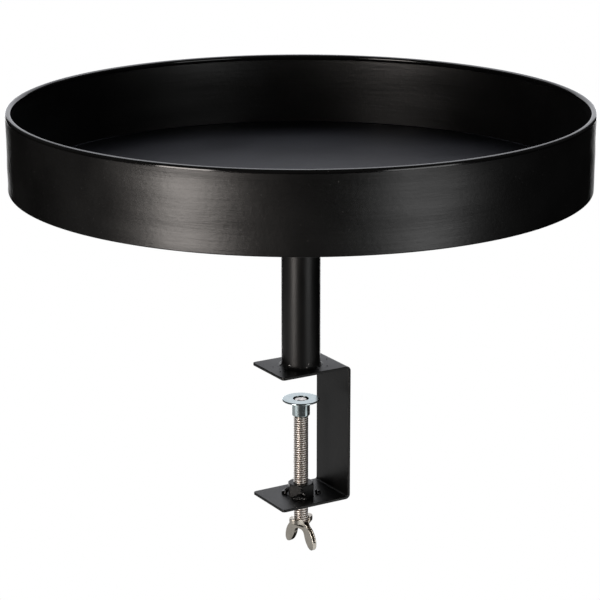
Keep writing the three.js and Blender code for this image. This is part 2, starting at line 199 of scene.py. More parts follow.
# Wing handle: cheeks round the screw, and two wings folded double from one sheet.
HUB_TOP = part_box("wing_handle")[1].z
CHEEK_REACH = 7.2 * MM
CHEEK_HALF_WIDTH = 4.7 * MM
CHEEK_RIM = 2.5 * MM
HUB_TAPER = 2.6 * MM
HUB_BOTTOM = HUB_TOP - 3.0 * MM
WING_TURN = math.radians(-80)
WING_HALF_THICKNESS = 1.3 * MM
WING_LEAN = math.radians(23)
WING_REACH = 7.55 * MM
WING_DROP = 7.4 * MM
WING_HALF_LENGTH = 6.5 * MM
WING_HALF_WIDTH = 3.15 * MM
ARCH_DROP = 3.8 * MM
WING_SHEET = 0.75 * MM
HANDLE_VOXEL = 0.14 * MM


# ---- mesh helpers ----

SHARP_ANGLE = math.radians(38)
NUT_SHARP_ANGLE = math.radians(20)
SOFT_SHARP_ANGLE = math.radians(80)
MERGE_DISTANCE = 1e-7


def linked(name, data):
    """A new object in the scene that shows the data."""
    thing = bpy.data.objects.new(name, data)
    bpy.context.scene.collection.objects.link(thing)
    return thing


def mesh_object(name, points, faces):
    """An object from points and faces, with doubled points merged and its normals facing out."""
    mesh = bpy.data.meshes.new(name)
    mesh.from_pydata([tuple(p) for p in points], [], faces)
    work = bmesh.new()
    work.from_mesh(mesh)
    bmesh.ops.remove_doubles(work, verts=work.verts, dist=MERGE_DISTANCE)
    bmesh.ops.recalc_face_normals(work, faces=work.faces)
    work.to_mesh(mesh)
    work.free()
    return linked(name, mesh)


def shade(piece, sharp_angle=SHARP_ANGLE):
    """Smooth shading that keeps flat faces flat and edges sharper than sharp_angle crisp."""
    piece.data.shade_smooth()
    piece.data.set_sharp_from_angle(angle=sharp_angle)
    weighting = piece.modifiers.new("weighted normals", "WEIGHTED_NORMAL")
    weighting.keep_sharp = True
    return piece


def grid_faces(rows, columns, closed_rows):
    """Quads of a grid of points whose columns wrap round, and whose rows do if closed_rows."""
    faces = []
    for row in range(rows if closed_rows else rows - 1):
        here = row * columns
        ahead = (row + 1) % rows * columns
        for column in range(columns):
            beside = (column + 1) % columns
            faces.append((here + column, here + beside, ahead + beside, ahead + column))
    return faces


def capped_grid(rows, columns):
    """Faces of a grid whose columns wrap round, with a cap on its first and last rows."""
    faces = grid_faces(rows, columns, closed_rows=False)
    faces.append(tuple(range(columns)))
    faces.append(tuple(range((rows - 1) * columns, rows * columns)))
    return faces


def revolve(name, outline, segments, shape=None, turn=0.0):
    """A closed outline of (radius, height) turned about +Z.

    shape, if given, takes the arrays (radius, height, angle) and returns a new (radius, height).
    """
    angle = turn + np.arange(segments) * TURN / segments
    radius, height = (np.repeat(column[:, None], segments, 1) for column in np.array(outline).T)
    angle = np.repeat(angle[None, :], len(outline), 0)
    if shape:
        radius, height = shape(radius, height, angle)
    points = np.stack([radius * np.cos(angle), radius * np.sin(angle), height], -1)
    faces = grid_faces(len(outline), segments, closed_rows=True)
    return mesh_object(name, points.reshape(-1, 3), faces)


def arc(centre, radius, start, end, steps):
    """Points of an arc, from the angle start to the angle end."""
    angles = [start + (end - start) * i / steps for i in range(steps + 1)]
    return [(centre[0] + radius * math.cos(a), centre[1] + radius * math.sin(a)) for a in angles]


def rounded(corners, steps=5):
    """A closed outline of (x, y, rounding) corners, each replaced with an arc of its rounding."""
    outline = []
    for i, (x, y, rounding) in enumerate(corners):
        here = Vector((x, y))
        if rounding == 0:
            outline.append((x, y))
            continue
        back = (Vector(corners[i - 1][:2]) - here).normalized()
        ahead = (Vector(corners[(i + 1) % len(corners)][:2]) - here).normalized()
        half = back.angle(ahead) / 2
        centre = here + (back + ahead).normalized() * rounding / math.sin(half)
        start = here + back * rounding / math.tan(half) - centre
        sweep = start.angle_signed(here + ahead * rounding / math.tan(half) - centre)
        first = math.atan2(start.y, start.x)
        outline += arc(centre, rounding, first, first - sweep, steps)
    return outline


def subdivided(outline, longest):
    """The same closed outline with its long stretches cut into pieces no longer than longest."""
    result = []
    for (x0, y0), (x1, y1) in zip(outline, outline[1:] + outline[:1]):
        cuts = max(1, math.ceil(math.hypot(x1 - x0, y1 - y0) / longest))
        result += [(x0 + (x1 - x0) * i / cuts, y0 + (y1 - y0) * i / cuts) for i in range(cuts)]
    return result


def bake_modifiers(piece):
    """Replaces the piece's mesh with the one that its modifiers make."""
    depsgraph = bpy.context.evaluated_depsgraph_get()
    mesh = bpy.data.meshes.new_from_object(piece.evaluated_get(depsgraph))
    piece.modifiers.clear()
    piece.data = mesh
    mesh.name = piece.name


def combine(piece, tools, operation):
    """Joins the tools to the piece (UNION) or cuts them from it (DIFFERENCE), and removes them."""
    for tool in tools:
        step = piece.modifiers.new("combine", "BOOLEAN")
        step.operation = operation
        step.solver = "EXACT"
        step.object = tool
    bpy.context.view_layer.update()
    bake_modifiers(piece)
    for tool in tools:
        bpy.data.objects.remove(tool)
    return piece


def thread_radius(crest, pitch, height, angle):
    """Radius of a right-handed metric thread, with a narrow crest and a rounded root."""
    phase = (height / pitch - angle / TURN) % 1.0
    rise = np.abs(2 * phase - 1)
    flank = np.clip((rise - ROOT_SHARE) / (1 - ROOT_SHARE - CREST_SHARE), 0, 1)
    return crest - pitch * THREAD_DEPTH_RATIO * (1 + np.cos(math.pi * flank)) / 2


def plan_centre(name, height=0):
    """The middle of a CAD node's box as seen from above, at the given height."""
    low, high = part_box(name)
    return Vector(((low.x + high.x) / 2, (low.y + high.y) / 2, height))


def levels(bottom, top, step):
    """Heights from bottom to top, about step apart."""
    return np.linspace(bottom, top, max(2, round((top - bottom) / step) + 1))


# ---- tray ----


def tray_hoop():
    """The wall, which rises to the rim and curls inwards into a bead with a slit inside."""
    centre = (TRAY_RADIUS - BEAD_RADIUS, TRAY_TOP - BEAD_RADIUS)
    curl_inside = BEAD_RADIUS - SHEET
    wall_inside = WALL_RADIUS - SHEET
    meeting = -math.acos((WALL_RADIUS - centre[0]) / BEAD_RADIUS)
    inner_start = -math.acos((wall_inside - centre[0]) / curl_inside)
    corner_height = centre[1] + BEAD_RADIUS * math.sin(meeting)
    bead = arc(centre, BEAD_RADIUS, meeting + GROOVE_FILLET / BEAD_RADIUS, CURL_END, 36)
    foot_centre = (WALL_RADIUS - FOOT_ROUNDING, TRAY_BOTTOM + FOOT_ROUNDING)
    outline = [(wall_inside, TRAY_BOTTOM)]
    outline += arc(foot_centre, FOOT_ROUNDING, -math.pi / 2, 0, 5)
    for height in levels(TRAY_BOTTOM + 2 * FOOT_ROUNDING, corner_height - GROOVE_FILLET, WALL_STEP):
        outline.append((WALL_RADIUS, height))
    start = Vector((WALL_RADIUS, corner_height - GROOVE_FILLET))
    corner = Vector((WALL_RADIUS, corner_height))
    end = Vector(bead[0])
    for share in (0.25, 0.5, 0.75):
        point = start * (1 - share) ** 2 + corner * 2 * share * (1 - share) + end * share**2
        outline.append(tuple(point))
    outline += bead
    lip_centre = arc(centre, BEAD_RADIUS - SHEET / 2, CURL_END, CURL_END, 1)[0]
    outline += arc(lip_centre, SHEET / 2, CURL_END, CURL_END + math.pi, 5)[1:-1]
    outline += arc(centre, curl_inside, CURL_END, inner_start, 12)
    for height in levels(TRAY_BOTTOM, corner_height, INNER_WALL_STEP)[:0:-1]:
        outline.append((wall_inside, height))

    def uneven(radius, height, angle):
        """A slight flare up to the bead, shallow waves in the wall, and a seam in the bead."""
        waves = []
        places = np.stack([radius * np.cos(angle), radius * np.sin(angle), height], -1)
        for x, y, z in places.reshape(-1, 3):
            waves.append(noise.noise(Vector((x / WAVE_LENGTH, y / WAVE_LENGTH, z / WAVE_RISE))))
        below_bead = np.maximum(corner_height - height, 0)
        above_foot = np.maximum(height - TRAY_BOTTOM, 0)
        on_wall = np.clip(below_bead / WAVE_FADE, 0, 1) * np.clip(above_foot / WAVE_FADE, 0, 1)
        radius = radius + np.reshape(waves, radius.shape) * on_wall * WAVE_HEIGHT
        radius = radius - FLARE * np.sin(np.clip(below_bead / FLARE_HEIGHT, 0, 1) * math.pi / 2)
        along = ((angle - SEAM_ANGLE + math.pi) % TURN - math.pi) * TRAY_RADIUS
        swell = np.exp(-((along / SEAM_SPREAD) ** 2)) * (height > corner_height)
        direction = np.arctan2(height - centre[1], radius - centre[0])
        raised = np.clip(np.cos(direction - SEAM_SIDE), 0, 1) * swell * SEAM_HEIGHT
        radius = radius + raised * np.cos(direction) * SEAM_SWELL_OUT
        return radius, height + raised * np.sin(direction) * SEAM_SWELL_UP

    return shade(revolve("tray_hoop_skin", outline, HOOP_SEGMENTS, uneven))


def countersink_cutter(number):
    """The hole that a countersunk screw needs: a 90 degree cone over a straight hole."""
    low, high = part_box(f"tray_screw_{number}")
    mouth = (high.x - low.x) / 2 + COUNTERSINK_GAP
    hole = TRAY_SCREW_RADIUS + COUNTERSINK_GAP
    above = FLOOR_TOP + MM
    lip = 0.05 * MM
    rim = FLOOR_TOP - lip
    clear = mouth + 0.25 * MM
    outline = [(0, TRAY_BOTTOM - MM), (hole, TRAY_BOTTOM - MM), (hole, rim - (mouth - hole))]
    outline += [(mouth, rim), (clear, FLOOR_TOP + lip), (clear, above), (0, above)]
    cutter = revolve("cutter", outline, 48)
    cutter.data.transform(Matrix.Translation(plan_centre(f"tray_screw_{number}")))
    return cutter


def tray_floor():
    """The floor plate, with a small fillet up the wall and four countersunk holes."""
    edge = WALL_RADIUS - SHEET
    fillet_centre = (edge - FLOOR_FILLET, FLOOR_TOP + FLOOR_FILLET)
    outline = [(0, TRAY_BOTTOM), (edge - 0.6 * MM, TRAY_BOTTOM)]
    outline.append((edge - 0.25 * MM, TRAY_BOTTOM + 0.12 * MM))
    outline.append((edge + FLOOR_TUCK, TRAY_BOTTOM + 0.5 * MM))
    outline.append((edge + FLOOR_TUCK, FLOOR_TOP + FLOOR_FILLET))
    outline += arc(fillet_centre, FLOOR_FILLET, 0, -math.pi / 2, 8)
    for radius in FLOOR_RINGS:
        outline.append((radius, FLOOR_TOP))
    floor = revolve("tray_floor_skin", outline, HOOP_SEGMENTS)
    return shade(combine(floor, [countersink_cutter(n) for n in FASTENERS], "DIFFERENCE"))


def support_flange():
    """The round plate under the tray that the post is welded to."""
    radius = flange_high.x
    corners = [(0, flange_low.z, 0), (radius, flange_low.z, FLANGE_EDGE)]
    corners += [(radius, TRAY_BOTTOM, FLANGE_TOP_EDGE), (0, TRAY_BOTTOM, 0)]
    return shade(revolve("support_flange_skin", rounded(corners), 192))


def tray_screw(number):
    """A countersunk machine screw with a cross recess and a cut thread."""
    low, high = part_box(f"tray_screw_{number}")
    head_radius = (high.x - low.x) / 2
    cone_foot = high.z - (head_radius - TRAY_SCREW_RADIUS)
    chamfer = 0.5 * MM
    outline = [(0, low.z), (TRAY_SCREW_RADIUS - chamfer, low.z)]
    for height in levels(low.z + HAIR, cone_foot, TRAY_SCREW_PITCH / 10):
        outline.append((TRAY_SCREW_RADIUS, height))
    edge = 0.12 * MM
    outline += [(head_radius - edge, high.z - edge), (head_radius, high.z - 0.04 * MM)]
    outline += [(head_radius - 0.15 * MM, high.z), (0, high.z)]

    def thread(radius, height, angle):
        """Cuts the thread below the head and chamfers the tip."""
        cut = thread_radius(TRAY_SCREW_RADIUS, TRAY_SCREW_PITCH, height, angle)
        tip = TRAY_SCREW_RADIUS - chamfer + (height - low.z)
        on_shank = (height > low.z) & (height < cone_foot)
        return np.where(on_shank, np.minimum(np.minimum(cut, tip), radius), radius), height

    screw = revolve(f"tray_screw_{number}_body", outline, 48, thread)
    bars = []
    for turn in RECESS_TURNS:
        foot = (high.z - RECESS_DEPTH, RECESS_FOOT_LENGTH, RECESS_FOOT_WIDTH)
        mouth = (high.z + MM, RECESS_LENGTH * 1.1, RECESS_WIDTH)
        bars.append(wedge(foot, mouth, turn))
    combine(screw, bars, "DIFFERENCE")
    screw.data.transform(Matrix.Translation(plan_centre(f"tray_screw_{number}")))
    return shade(screw)


def wedge(foot, mouth, turn):
    """A tapering bar between two rectangles, each given as (height, length, width)."""
    corners = []
    for height, length, width in (foot, mouth):
        for x, y in ((-1, -1), (1, -1), (1, 1), (-1, 1)):
            corners.append((x * length / 2, y * width / 2, height))
    caps = [(3, 2, 1, 0), (4, 5, 6, 7)]
    bar = mesh_object("bar", corners, caps + grid_faces(2, 4, closed_rows=False))
    bar.data.transform(Matrix.Rotation(turn, 4, "Z"))
    return bar


def hex_nut(name, across_flats, bore, bottom, top, turn, chamfer_bottom=True):
    """A nut with chamfered corners, one of them at the angle turn, and a countersunk bore."""
    flat = across_flats / 2 * CHAMFER_START
    corner = across_flats / math.sqrt(3)
    steps = 8
    chamfer = [flat + (corner - flat) * i / steps for i in range(steps + 1)]
    outline = [(bore, bottom + LEAD_IN), (bore + LEAD_IN, bottom)]
    outline += [(radius, bottom) for radius in chamfer]
    outline += [(corner, (bottom + top) / 2)]
    outline += [(radius, top) for radius in reversed(chamfer)]
    outline += [(bore + LEAD_IN, top), (bore, top - LEAD_IN)]
    slope = math.tan(NUT_CHAMFER)

    def cut_hexagon(radius, height, angle):
        """Trims the round blank to a hexagon and slopes its corners."""
        from_flat = (angle - turn) % (TURN / 6) - TURN / 12
        reach = np.minimum(radius, across_flats / 2 / np.cos(from_flat))
        drop = np.maximum(0, reach - flat) * slope
        low_side = (height == bottom) & chamfer_bottom
        return reach, height + drop * low_side - drop * (height == top)

    return revolve(name, outline, 120, cut_hexagon, turn)


def tray_nut(number):
    """The nut on a tray screw, under the flange."""
    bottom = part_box(f"tray_nut_{number}")[0].z
    place = plan_centre(f"tray_screw_{number}")
    turn = math.atan2(place.y, place.x)
    name = f"tray_nut_{number}_body"
    nut = hex_nut(name, TRAY_NUT_FLATS, TRAY_SCREW_RADIUS, bottom, flange_low.z, turn)
    nut.data.transform(Matrix.Translation(place))
    return shade(nut, NUT_SHARP_ANGLE)


# ---- post ----


def post_tube():
    """The tube between the upper jaw and the flange."""
    inside = POST_RADIUS - POST_WALL
    outline = [(inside, JAW_TOP), (POST_RADIUS, JAW_TOP)]
    outline += [(POST_RADIUS, flange_low.z), (inside, flange_low.z)]
    return shade(revolve("post_tube_body", subdivided(outline, POST_STEP), 128))


def roughen(piece, size, amount, seed):
    """Moves each point along its normal by a smooth random field of the given grain size."""
    offset = Vector((seed * 3.1, seed * 7.7, seed * 1.3))
    vertices = piece.data.vertices
    moves = [v.normal * amount * noise.noise(v.co / size + offset) for v in vertices]
    for vertex, move in zip(vertices, moves):
        vertex.co += move


def weld_ring(name, level, leg, rise, seed):
    """A rippled fillet weld round the post, growing up (rise 1) or down (rise -1) from level."""
    steps = 12
    inside = POST_RADIUS - WELD_OVERLAP
    outline = [(inside, level), (POST_RADIUS + leg, level)]
    for i in range(1, steps):
        share = i / steps
        hollow = (1 - share) ** 1.5
        outline.append((POST_RADIUS + leg * hollow, level + rise * leg * share**1.2))
    outline.append((inside, level + rise * leg))

    def ripple(radius, height, angle):
        """Overlapping puddles left as the weld went round."""
        puddle = np.abs(((angle * PUDDLES / TURN + 0.15 * np.sin(3 * angle)) % 1.0) - 0.5) * 2
        uneven = 1 + 0.10 * np.sin(2 * angle + seed) + 0.06 * np.sin(5 * angle + 2 * seed)
        swell = uneven * (0.88 + 0.12 * (1 - puddle**2))
        out = np.maximum(radius - POST_RADIUS, 0) * swell
        radius = np.where(radius > POST_RADIUS, POST_RADIUS + out, radius)
        return radius, level + (height - level) * swell

    ring = revolve(name, outline, 240, ripple)
    roughen(ring, BEAD_GRAIN, BEAD_ROUGHNESS, seed)
    return ring


def dome(name, radius, height, base, place, seed):
    """A low lump of weld metal that sits on the level base."""
    steps = 8
    sunk = base - 0.1 * MM
    outline = [(0, sunk), (radius * 0.95, sunk)]
    for i in range(steps):
        rise = math.pi / 2 * i / steps
        outline.append((radius * math.cos(rise), base + height * math.sin(rise)))
    outline.append((0, base + height))
    lump = revolve(name, outline, 28)
    roughen(lump, radius * LUMP_GRAIN, radius * LUMPINESS, seed)
    lump.data.transform(Matrix.Translation((place[0], place[1], 0)))
    return lump


def join_meshes(pieces):
    """Puts all the pieces' meshes in the first piece, as they are."""
    work = bmesh.new()
    for piece in pieces:
        work.from_mesh(piece.data)
    work.to_mesh(pieces[0].data)
    work.free()
    for piece in pieces[1:]:
        bpy.data.objects.remove(piece)
    return pieces[0]


def bare_drops():
    """Three drops of weld metal on the bead's front, which the paint has come off."""
    drops = []
    for azimuth, height, size in FRONT_DROPS:
        angle = math.radians(azimuth)
        reach = POST_RADIUS + DROP_STANDOFF
        drop = dome("post_weld_drops", size, size, 0, (0, 0), len(drops) + 5)
        place = (reach * math.cos(angle), reach * math.sin(angle), JAW_TOP + height)
        drop.data.transform(Matrix.Translation(place))
        drops.append(drop)
    return shade(join_meshes(drops))


def spatter():
    """Painted specks of weld metal on the jaw round the post."""
    specks = []
    random = np.random.default_rng(SPATTER_SEED)
    while len(specks) < SPATTER_COUNT:
        angle = random.uniform(0, TURN)
        reach = POST_RADIUS + FOOT_WELD_LEG + random.exponential(SPATTER_SPREAD)
        size = random.uniform(*SPATTER_SIZES) * MM
        x = reach * math.cos(angle)
        y = reach * math.sin(angle)
        if abs(y) < bracket_high.y - MM and abs(x) < -bracket_low.x - 2 * MM:
            specks.append(dome("weld_spatter", size, size * 0.8, JAW_TOP, (x, y), len(specks)))
    return shade(join_meshes(specks))


def post_weld():
    """The weld at the post's foot."""
    return shade(weld_ring("post_weld_bead", JAW_TOP, FOOT_WELD_LEG, 1, 1.7))


def flange_weld():
    """The weld at the post's top."""
    return shade(weld_ring("flange_weld_bead", flange_low.z, HEAD_WELD_LEG, -1, 4.2))


# ---- clamp bracket ----


def strip_path():
    """The strip's middle line from the lower jaw's free end to the upper one's.

    Each item is (place in X and Z, direction, distance from the nearer free end).
    """
    bend = BEND_OUTER_RADIUS - STRIP / 2
    web = bracket_high.x - STRIP / 2
    low = bracket_low.z + STRIP / 2
    high = bracket_high.z - STRIP / 2
    free_end = bracket_low.x
    stretch = web - bend - free_end
    line = []
    near_end = [STRIP_EDGE * (1 - math.cos(math.radians(a))) for a in range(0, 91, 15)]
    near_end += [JAW_CORNER_RADIUS * (1 - math.cos(math.radians(a))) for a in range(38, 91, 6)]
    near_end = sorted(near_end) + [stretch * share for share in (0.2, 0.4, 0.6, 0.8, 1.0)]
    for distance in near_end:
        line.append(((free_end + distance, low), 0.0, distance))
    for x, z in arc((web - bend, low + bend), bend, -math.pi / 2, 0, 12)[1:]:
        heading = math.atan2(z - low - bend, x - web + bend) + math.pi / 2
        line.append(((x, z), heading, stretch))
    for height in levels(low + bend, high - bend, WEB_STEP)[1:-1]:
        line.append(((web, height), math.pi / 2, stretch))
    for x, z in arc((web - bend, high - bend), bend, 0, math.pi / 2, 12):
        heading = math.atan2(z - high + bend, x - web + bend) + math.pi / 2
        line.append(((x, z), heading, stretch))
    for distance in reversed(near_end[:-1]):
        line.append(((free_end + distance, high), math.pi, distance))
    return line


def rounded_off(radius, distance):
    """What an end rounded to this radius has lost at a distance from the end."""
    inset = max(0, radius - distance)
    return radius - math.sqrt(radius**2 - inset**2)


def strip_section(distance):
    """The strip's cross-section at a distance from its free end, as (across, outward) points."""
    half_width = bracket_high.y - rounded_off(JAW_CORNER_RADIUS, distance)
    half_thickness = STRIP / 2 - rounded_off(STRIP_EDGE, distance)
    edge = min(STRIP_EDGE, half_thickness * 0.98)
    corners = [(1, 1), (-1, 1), (-1, -1), (1, -1)]
    outline = [(x * half_width, y * half_thickness, edge) for x, y in corners]
    return rounded(outline, 6)


def clamp_bracket():
    """The strip bent into a C, with rounded corners and a hole for the screw."""
    points = []
    path = strip_path()
    for (x, z), heading, distance in path:
        out = (math.sin(heading), -math.cos(heading))
        for across, outward in strip_section(distance):
            points.append((x + out[0] * outward, across, z + out[1] * outward))
    faces = capped_grid(len(path), len(points) // len(path))
    bracket = mesh_object("clamp_bracket_body", points, faces)
    under = bracket_low.z - MM
    over = LOWER_JAW_TOP + MM
    outline = [(0, under), (JAW_HOLE_RADIUS, under), (JAW_HOLE_RADIUS, over), (0, over)]
    return shade(combine(bracket, [revolve("hole", outline, 64)], "DIFFERENCE"))


def weld_nut():
    """The nut that is welded on the lower jaw."""
    bore = SCREW_RADIUS - NUT_THREAD
    foot = LOWER_JAW_TOP - NUT_SINK
    nut = hex_nut("weld_nut_body", NUT_FLATS, bore, foot, NUT_TOP, NUT_TURN, chamfer_bottom=False)
    return shade(nut, NUT_SHARP_ANGLE)


def remeshed(piece, voxel, smoothing):
    """Rebuilds the piece as one even mesh with rounded edges."""
    remesh = piece.modifiers.new("even out", "REMESH")
    remesh.mode = "VOXEL"
    remesh.voxel_size = voxel
    soften = piece.modifiers.new("round the edges", "SMOOTH")
    soften.factor = 0.6
    soften.iterations = smoothing
    bake_modifiers(piece)
    return piece


def nut_tack(number):
    """A heap of weld metal against the nut's side."""
    foot = plan_centre(f"nut_tack_{number}", LOWER_JAW_TOP)
    outward = Vector((foot.x, foot.y, 0)).normalized()
    sideways = Vector((-outward.y, outward.x, 0))
    work = bmesh.new()
    for side, out, up, radius in TACK_BLOBS[number]:
        move = sideways * side + outward * out + Vector((0, 0, up))
        place = Matrix.Translation(foot + move * MM)
        bmesh.ops.create_icosphere(work, subdivisions=3, radius=radius * MM, matrix=place)
    mesh = bpy.data.meshes.new("lump")
    work.to_mesh(mesh)
    work.free()
    lump = linked(f"nut_tack_{number}_lump", mesh)
    remeshed(lump, TACK_VOXEL, 3)
    roughen(lump, TACK_GRAIN, TACK_ROUGHNESS, number + 11)
    for vertex in lump.data.vertices:
        vertex.co.z = max(vertex.co.z, LOWER_JAW_TOP - TACK_SINK)
    return shade(lump, SOFT_SHARP_ANGLE)


# ---- pad, clamp screw and wing handle ----


def swivel_pad():
    """A turned cup with a wide thin flange, in which the screw's head is held."""
    flange_bottom = pad_high.z - PAD_FLANGE
    corners = [
        (NECK_RADIUS, pad_low.z, 0),
        (PAD_BARREL_RADIUS, pad_low.z, 0.75 * MM),
        (PAD_BARREL_RADIUS, flange_bottom, 0.5 * MM),
        (pad_high.x, flange_bottom + 0.12 * MM, 0.3 * MM),
        (pad_high.x, pad_high.z, 0.55 * MM),
        (PAD_BORE_RADIUS, pad_high.z, PAD_MOUTH_ROUNDING),
        (PAD_BORE_RADIUS, pad_low.z + PAD_FLOOR, 0.2 * MM),
        (NECK_RADIUS, pad_low.z + PAD_FLOOR, 0),
    ]
    return shade(revolve("swivel_pad_body", rounded(corners, 7), 128))


def clamp_screw():
    """The M8 screw: threaded rod, neck, and a head peened over inside the pad."""
    rod_top = pad_low.z - HAIR
    chamfer = 0.75 * MM
    head_bottom = pad_low.z + PAD_FLOOR + 0.1 * MM
    outline = [(0, screw_low.z), (SCREW_RADIUS - chamfer, screw_low.z)]
    for height in levels(screw_low.z + HAIR, rod_top - HAIR, SCREW_PITCH / 16):
        outline.append((SCREW_RADIUS, height))
    neck = NECK_RADIUS - 0.1 * MM
    outline += [(SCREW_RADIUS - chamfer, rod_top), (neck, rod_top)]
    outline += [(neck, head_bottom), (PEENED_RADIUS, head_bottom)]
    rim = screw_high.z - HEAD_CROWN
    dome_steps = 16
    for i in range(dome_steps + 1):
        share = i / dome_steps
        radius = PEENED_RADIUS * (1 - share)
        outline.append((radius, rim + HEAD_CROWN * (1 - (1 - share) ** 4)))

    def thread_and_stakes(radius, height, angle):
        """Cuts the thread and both end chamfers, and raises the stake marks on the head."""
        cut = thread_radius(SCREW_RADIUS, SCREW_PITCH, height, angle)
        ends = SCREW_RADIUS - chamfer + np.minimum(height - screw_low.z, rod_top - height)
        on_rod = (height > screw_low.z) & (height < rod_top)
        radius = np.where(on_rod, np.minimum(np.minimum(cut, ends), radius), radius)
        stake = np.clip(np.cos(2 * (angle - STAKE_TURN)) * 2.2 - 1.2, 0, 1)
        ring = np.exp(-(((radius - PEENED_RADIUS * 0.72) / STAKE_WIDTH) ** 2))
        pit = np.exp(-((radius / PIT_RADIUS) ** 2)) * PIT_DEPTH
        lift = (height > rim - HAIR / 2) * (stake * ring * STAKE_HEIGHT - pit)
        return radius, height + lift

    return shade(revolve("clamp_screw_body", outline, 96, thread_and_stakes), math.radians(50))


def prism(outline, half_thickness):
    """A plate of the given (reach, height) outline, which stands in the wings' plane."""
    count = len(outline)
    points = [(u, side, z) for side in (-half_thickness, half_thickness) for u, z in outline]
    caps = [tuple(range(count)), tuple(reversed(range(count, 2 * count)))]
    return mesh_object("plate", points, caps + grid_faces(2, count, closed_rows=False))


def cheeks():
    """The hub: an oval rim on top that narrows downwards to the wings' thickness."""
    rows = 14
    columns = 64
    rim_rows = 3
    foot = HUB_BOTTOM - HUB_TAPER
    points = []
    for row in range(rows + 1):
        share = max(0, row - rim_rows + 1) / (rows - rim_rows + 1)
        height = HUB_TOP - CHEEK_RIM * min(row, rim_rows - 1) / (rim_rows - 1)
        height += (foot - HUB_TOP + CHEEK_RIM) * share
        across = WING_HALF_THICKNESS + (CHEEK_REACH - WING_HALF_THICKNESS) * (1 - share) ** 1.25
        for column in range(columns):
            angle = TURN * column / columns
            points.append((CHEEK_HALF_WIDTH * math.cos(angle), across * math.sin(angle), height))
    return mesh_object("wing_handle_body", points, capped_grid(rows + 1, columns))


def wing_place(down, out):
    """(reach, height) of a point that lies down and out from a wing's middle, along its lean."""
    middle = HUB_BOTTOM - WING_DROP
    reach = WING_REACH + down * math.sin(WING_LEAN) + out * math.cos(WING_LEAN)
    return reach, middle - down * math.cos(WING_LEAN) + out * math.sin(WING_LEAN)


def wing_handle():
    """A handle folded from sheet: two cheeks, and wings that are folded below and open above."""
    arch = HUB_BOTTOM - ARCH_DROP
    oval = []
    for i in range(64):
        angle = TURN * i / 64
        down = WING_HALF_LENGTH * math.sin(angle)
        oval.append(wing_place(down, WING_HALF_WIDTH * math.cos(angle)))
    root = [
        (-0.5 * MM, HUB_BOTTOM + MM),
        (-0.5 * MM, arch),
        (1.6 * MM, arch),
        (3.2 * MM, arch - 0.9 * MM),
        wing_place(0, -WING_HALF_WIDTH * 0.9),
        wing_place(0, WING_HALF_WIDTH * 0.9),
        (CHEEK_HALF_WIDTH, HUB_BOTTOM + MM),
    ]
    past = WING_HALF_WIDTH + 3 * MM
    above = -9 * MM
    slot = [
        wing_place(above, -1.2 * MM),
        wing_place(-2.5 * MM, -WING_HALF_WIDTH * 0.45),
        wing_place(1.6 * MM, -WING_HALF_WIDTH * 0.4),
        wing_place(2.6 * MM, WING_HALF_WIDTH * 0.4),
        wing_place(2.2 * MM, past),
        wing_place(above, past),
    ]
    half_slot = WING_HALF_THICKNESS - WING_SHEET
    handle = cheeks()
    plates = []
    slots = []
    for turn in (0, math.pi):
        for outline, half, group in (
            (oval, WING_HALF_THICKNESS, plates),
            (root, WING_HALF_THICKNESS, plates),
            (slot, half_slot, slots),
        ):
            plate = prism(outline, half)
            plate.data.transform(Matrix.Rotation(turn, 4, "Z"))
            group.append(plate)
    whole_way = 30 * MM
    foot = (HUB_BOTTOM - 1.4 * MM, whole_way, 2 * half_slot)
    mouth = (HUB_TOP + 0.5 * MM, whole_way, 5.6 * MM)
    slots.append(wedge(foot, mouth, 0))
    bore = SCREW_RADIUS + 0.1 * MM
    bottom = HUB_BOTTOM - 0.4 * MM
    bore_outline = [(0, bottom), (bore - MM, bottom), (bore, HUB_BOTTOM + 0.6 * MM)]
    bore_outline += [(bore, HUB_TOP - MM), (bore + 0.5 * MM, HUB_TOP + MM), (0, HUB_TOP + MM)]
    combine(handle, plates, "UNION")
    combine(handle, [*slots, revolve("bore", bore_outline, 48)], "DIFFERENCE")
    remeshed(handle, HANDLE_VOXEL, 14)
    handle.data.transform(Matrix.Rotation(WING_TURN, 4, "Z"))
    return shade(handle, SOFT_SHARP_ANGLE)


# ---- materials ----

# Where a mix node keeps its two colours and its result among sockets of the same names.
MIX_FIRST, MIX_SECOND, MIX_RESULT = 6, 7, 2

# What the painted shade in the thread's roots leaves of a colour, and the radii between which it
# thins out to nothing.
ROOT_SHADE = (0.34, 0.30, 0.27)
ROOT_SHADE_SPAN = (SCREW_RADIUS - 0.62 * MM, SCREW_RADIUS - 0.10 * MM)


